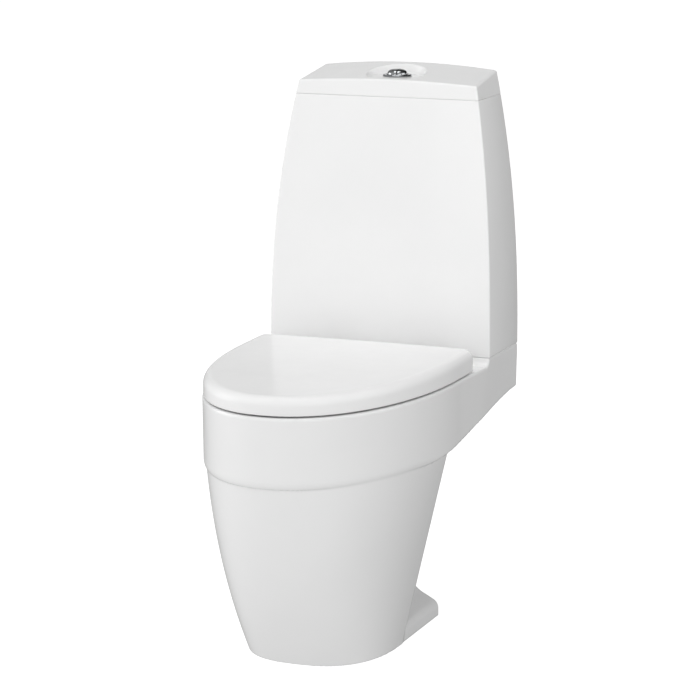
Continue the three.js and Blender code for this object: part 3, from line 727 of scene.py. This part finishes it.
def lid_top(x, y):
    """The lid's wedge, low at the front and crowned across its width."""
    back = np.clip(1 - (WALL - y) / 105, 0, 1)
    crown = mix(LID_FRONT_CROWN, LID_BACK_CROWN, back)
    return mix(LID_FRONT_Z, LID_BACK_Z, back) + crown * (1 - (x / 145) ** 2)


def scoop(x, y):
    """Height of the scoop in the lid: a flat floor round the buttons, a cove, then a steep wall."""
    out = np.hypot(x, y - SCOOP_Y) - SCOOP_RADIUS
    cove = 6
    rise = cove * (1 - np.sqrt(1 - np.clip(out / cove, 0, 0.92) ** 2))
    return BEZEL_Z + rise + 2.6 * np.maximum(out - 5.52, 0)


def lid_field(x, y, z):
    """The lid: a hollow shell with a lip that drops inside the cistern, a scoop and the button's hole."""
    lip_rise = 392
    shell = both(cistern_outline(x, y, z - CISTERN_Z), z - lid_top(x, y), 2.5)
    shell = both(shell, SEAM_Z - 0.2 - z, 0.3)
    under = both(cistern_outline(x, y, SEAM_Z - CISTERN_Z, CHINA_WALL + 1), z - LID_CEILING_Z, 6)
    shell = without(shell, under, 1)
    lip_ends = both(LIP_LOW_Z - z, z - LIP_HIGH_Z)
    lip = both(cistern_outline(x, y, lip_rise, CHINA_WALL + 1), lip_ends, 1.5)
    lip = without(lip, cistern_outline(x, y, lip_rise, CHINA_WALL + 7), 1.5)
    shell = either(shell, lip)
    shell = both(shell, (z - scoop(x, y)) * 0.5, 0.8)
    return both(shell, BUTTON_HOLE - np.hypot(x, y - FLUSH_Y), 0.8)


def cistern_lid():
    piece = from_field("cistern_lid_casting", lid_field, low("cistern_lid"), high("cistern_lid"), 1.5)
    stand_for(piece, "cistern_lid")


# ---- Flush buttons ----
def bezel():
    """The threaded collar round the buttons, with a rounded flange on the scoop's floor."""
    profile = [(16.7, -26), (19.6, -26), (19.6, GAP), (22.2, GAP), (22.8, 0.6), (23, 1.2)]
    profile += [(22.6 - 1.8 * (1 - math.cos(a)), 1.6 + 1.6 * math.sin(a)) for a in (0.4, 0.8, 1.2, 1.57)]
    profile += [(18.4, 3.0), (17.2, 2.6), (16.7, 2.0), (16.7, -26)]
    stand_for(lathe("bezel_ring", profile, (0, FLUSH_Y, BEZEL_Z), 96), "button_bezel")


def button_field(side):
    """The field of one button: its side's part of a domed plug, the larger part at 1, the smaller at -1."""

    def field(x, y, z):
        radius = np.hypot(x, y - FLUSH_Y)
        up = np.maximum(z - BEZEL_Z - 3, 0)
        size = np.sqrt((radius / BUTTON_RADIUS) ** DOME_POWER + (up / DOME_RISE) ** 2)
        dome = (size - 1) * mix(BUTTON_RADIUS, DOME_RISE, np.clip(up / DOME_RISE, 0, 1))
        plug = both(dome, BEZEL_Z - 10 - z, 0.6)
        return both(plug, (x - SPLIT_X) * side + SPLIT_HALF_GAP, 0.9)

    return field


def buttons():
    for node, side in (("full_flush_button", 1), ("half_flush_button", -1)):
        top = high(node) + (0, 0, DOME_RISE - CAD_DOME_RISE)
        piece = from_field(node + "_cap", button_field(side), low(node), top, 0.45)
        stand_for(piece, node)


# ---- Seat ----
def cover_top(y):
    """Height of the cover's top, which falls towards its front."""
    return mix(COVER_REAR_Z, COVER_FRONT_Z, np.clip((from_wall(COVER_BACK) - y) / 415, 0, 1))


def cover_outline(x, y, inset=0.0):
    front = from_wall(DEPTH - 1.5) + inset
    back = from_wall(COVER_BACK) - inset
    return tub(x, y, COVER_HALF - inset, front, from_wall(PANEL_MIDDLE), back, NOSE, 17)


def lug(x, y, z, at_x, root):
    """A hinge lug: a barrel on the hinge's axis and the root that joins it to its panel."""
    barrel = crosswise(np.abs(x), y, z, (at_x, HINGE_Y, HINGE_Z), LUG_RADIUS, 6.5, 0.8)
    return either(barrel, root, 2)


def cover_field(x, y, z):
    """The cover: a hollow shell with a pair of lugs, cut back round the hinge so that it can turn."""
    side = np.abs(x)
    top = cover_top(y) + 1.2 * (1 - (x / 178) ** 2) * smooth((y - from_wall(590)) / 120)
    shell = both(cover_outline(x, y), z - top, COVER_EDGE)
    hollow = both(cover_outline(x, y, COVER_WALL), z - cover_top(y) + COVER_THICKNESS, 5)
    shell = both(without(shell, hollow, 1), (RIM_Z + 2.5) - z, 1.2)
    beyond_arc = REAR_ARC - np.hypot(y - HINGE_Y, z - HINGE_Z)
    notch = both(both(HINGE_Y - y, z - HINGE_Z), beyond_arc)
    shell = without(shell, notch, 1)
    slots = box(side, y, z, (49, from_wall(196), 390), (108, from_wall(170), 431), 2)
    shell = without(shell, slots, 1)
    root = box(side, y, z, (51.5, HINGE_Y - 8.5, HINGE_Z), (64.5, HINGE_Y + 7, 433), 1)
    shell = either(shell, lug(x, y, z, COVER_LUG_X, root), 1)
    return without(shell, crosswise(side, y, z, (COVER_LUG_X, HINGE_Y, HINGE_Z), PIN_HOLE, 10))


def cover():
    piece = from_field("seat_cover_shell", cover_field, low("seat_cover"), high("seat_cover"), 2)
    stand_for(piece, "seat_cover")


def ring_field(x, y, z):
    """The seat's ring: a flat underside, a top that rolls off to both edges, and a pair of lugs."""
    side = np.abs(x)
    base = RIM_Z + 3.7
    front, middle, rear = (from_wall(d) for d in (DEPTH - RING_INSET, PANEL_MIDDLE, 222))
    outer = tub(x, y, RIM_HALF - RING_INSET, front, middle, rear, NOSE, 30)
    hole = egg(x, y, 106, from_wall(535), from_wall(400), from_wall(272), 2.1)
    edge = np.minimum(-outer, hole)
    top = base + RING_THICKNESS - 8 * np.clip(1 - edge / 26, 0, 1) ** 2
    body = both(both(without(outer, hole), z - top, 4), base - z, 2.5)
    root = box(side, y, z, (91.5, from_wall(240), HINGE_Z - 8.4), (104.5, HINGE_Y, HINGE_Z + 2.5), 2)
    body = either(body, lug(x, y, z, RING_LUG_X, root), 2)
    return without(body, crosswise(side, y, z, (RING_LUG_X, HINGE_Y, HINGE_Z), PIN_HOLE, 10))


def seat():
    piece = from_field("seat_ring_moulding", ring_field, low("seat_ring"), high("seat_ring"), 2)
    stand_for(piece, "seat_ring")


# ---- Stage, light and camera ----
EYE = (1.5823, -3.9331, 1.2823)  # metres
AZIMUTH, DOWN = 21.69, 11.215  # degrees
LENS = 147.5
WORLD_LEVEL = 0.42
WORLD_LEAN = (-0.14, -0.32, -0.18)  # brighter towards the left, the front and below
LIGHTS = [
    # name, place in metres, power in watts
    ("left", (-3.6, -0.6, 1.2), 46),
    ("above", (0, -0.3, 4.0), 50),
    ("front", (0.2, -4.0, 1.0), 23),
    ("front_right", (3.0, -2.4, 1.6), 26),
    ("right", (3.4, 0.6, 1.5), 32),
    ("behind", (-1.5, 3.7, 1.4), 7),
]


def stage():
    """An evenly white floor that neither lights the toilet nor shows in what it mirrors."""
    bpy.ops.mesh.primitive_plane_add(size=60)
    floor = bpy.context.object
    floor.name = "floor"
    made = bpy.data.materials.new("pale_floor")
    made.use_nodes = True
    nodes, links = made.node_tree.nodes, made.node_tree.links
    shader = nodes["Principled BSDF"]
    shader.inputs["Roughness"].default_value = 0.9
    shader.inputs["Specular IOR Level"].default_value = 0.1
    shader.inputs["Base Color"].default_value = (0.2, 0.2, 0.2, 1)
    shader.inputs["Emission Color"].default_value = (1, 1, 1, 1)
    shader.inputs["Emission Strength"].default_value = 1.0
    floor.visible_diffuse = False
    floor.visible_glossy = False
    floor.data.materials.append(made)


def area_light(name, place, power):
    """A large square soft light, place in metres, that faces the middle of the toilet."""
    data = bpy.data.lights.new(name, "AREA")
    data.size = 2.5
    data.energy = power
    light = bpy.data.objects.new(name, data)
    light.location = place
    toward = Vector((0, 0, 0.45)) - Vector(place)
    light.rotation_euler = toward.to_track_quat("-Z", "Y").to_euler()
    light.visible_camera = False
    bpy.context.scene.collection.objects.link(light)


def studio():
    """A pale world, dimmer behind the toilet, with large soft lights round it."""
    world = bpy.data.worlds.new("studio")
    world.use_nodes = True
    nodes, links = world.node_tree.nodes, world.node_tree.links
    direction = nodes.new("ShaderNodeTexCoord").outputs["Generated"]
    lean = nodes.new("ShaderNodeVectorMath")
    lean.operation = "DOT_PRODUCT"
    lean.inputs[1].default_value = WORLD_LEAN
    links.new(direction, lean.inputs[0])
    level = nodes.new("ShaderNodeMath")
    level.operation = "ADD"
    level.inputs[1].default_value = WORLD_LEVEL
    links.new(lean.outputs["Value"], level.inputs[0])
    nodes["Background"].inputs["Color"].default_value = (1, 1, 1, 1)
    links.new(level.outputs["Value"], nodes["Background"].inputs["Strength"])
    bpy.context.scene.world = world
    for light in LIGHTS:
        area_light(*light)
    bpy.context.scene.view_settings.view_transform = "Standard"


def camera():
    data = bpy.data.cameras.new("camera")
    data.lens = LENS
    made = bpy.data.objects.new("camera", data)
    made.location = EYE
    made.rotation_euler = (math.radians(90 - DOWN), 0, math.radians(AZIMUTH))
    bpy.context.scene.collection.objects.link(made)
    bpy.context.scene.camera = made


def dress_cad_nodes():
    """Gives the CAD nodes that stay in view the finish of their material slot."""
    for name, node in frame["nodes"].items():
        if not node.hide_render:
            node.data.materials.clear()
            node.data.materials.append(MATERIALS[slot_of[name]])


camera()
studio()
stage()
pan()
cistern()
cistern_lid()
bezel()
buttons()
cover()
seat()
dress_cad_nodes()
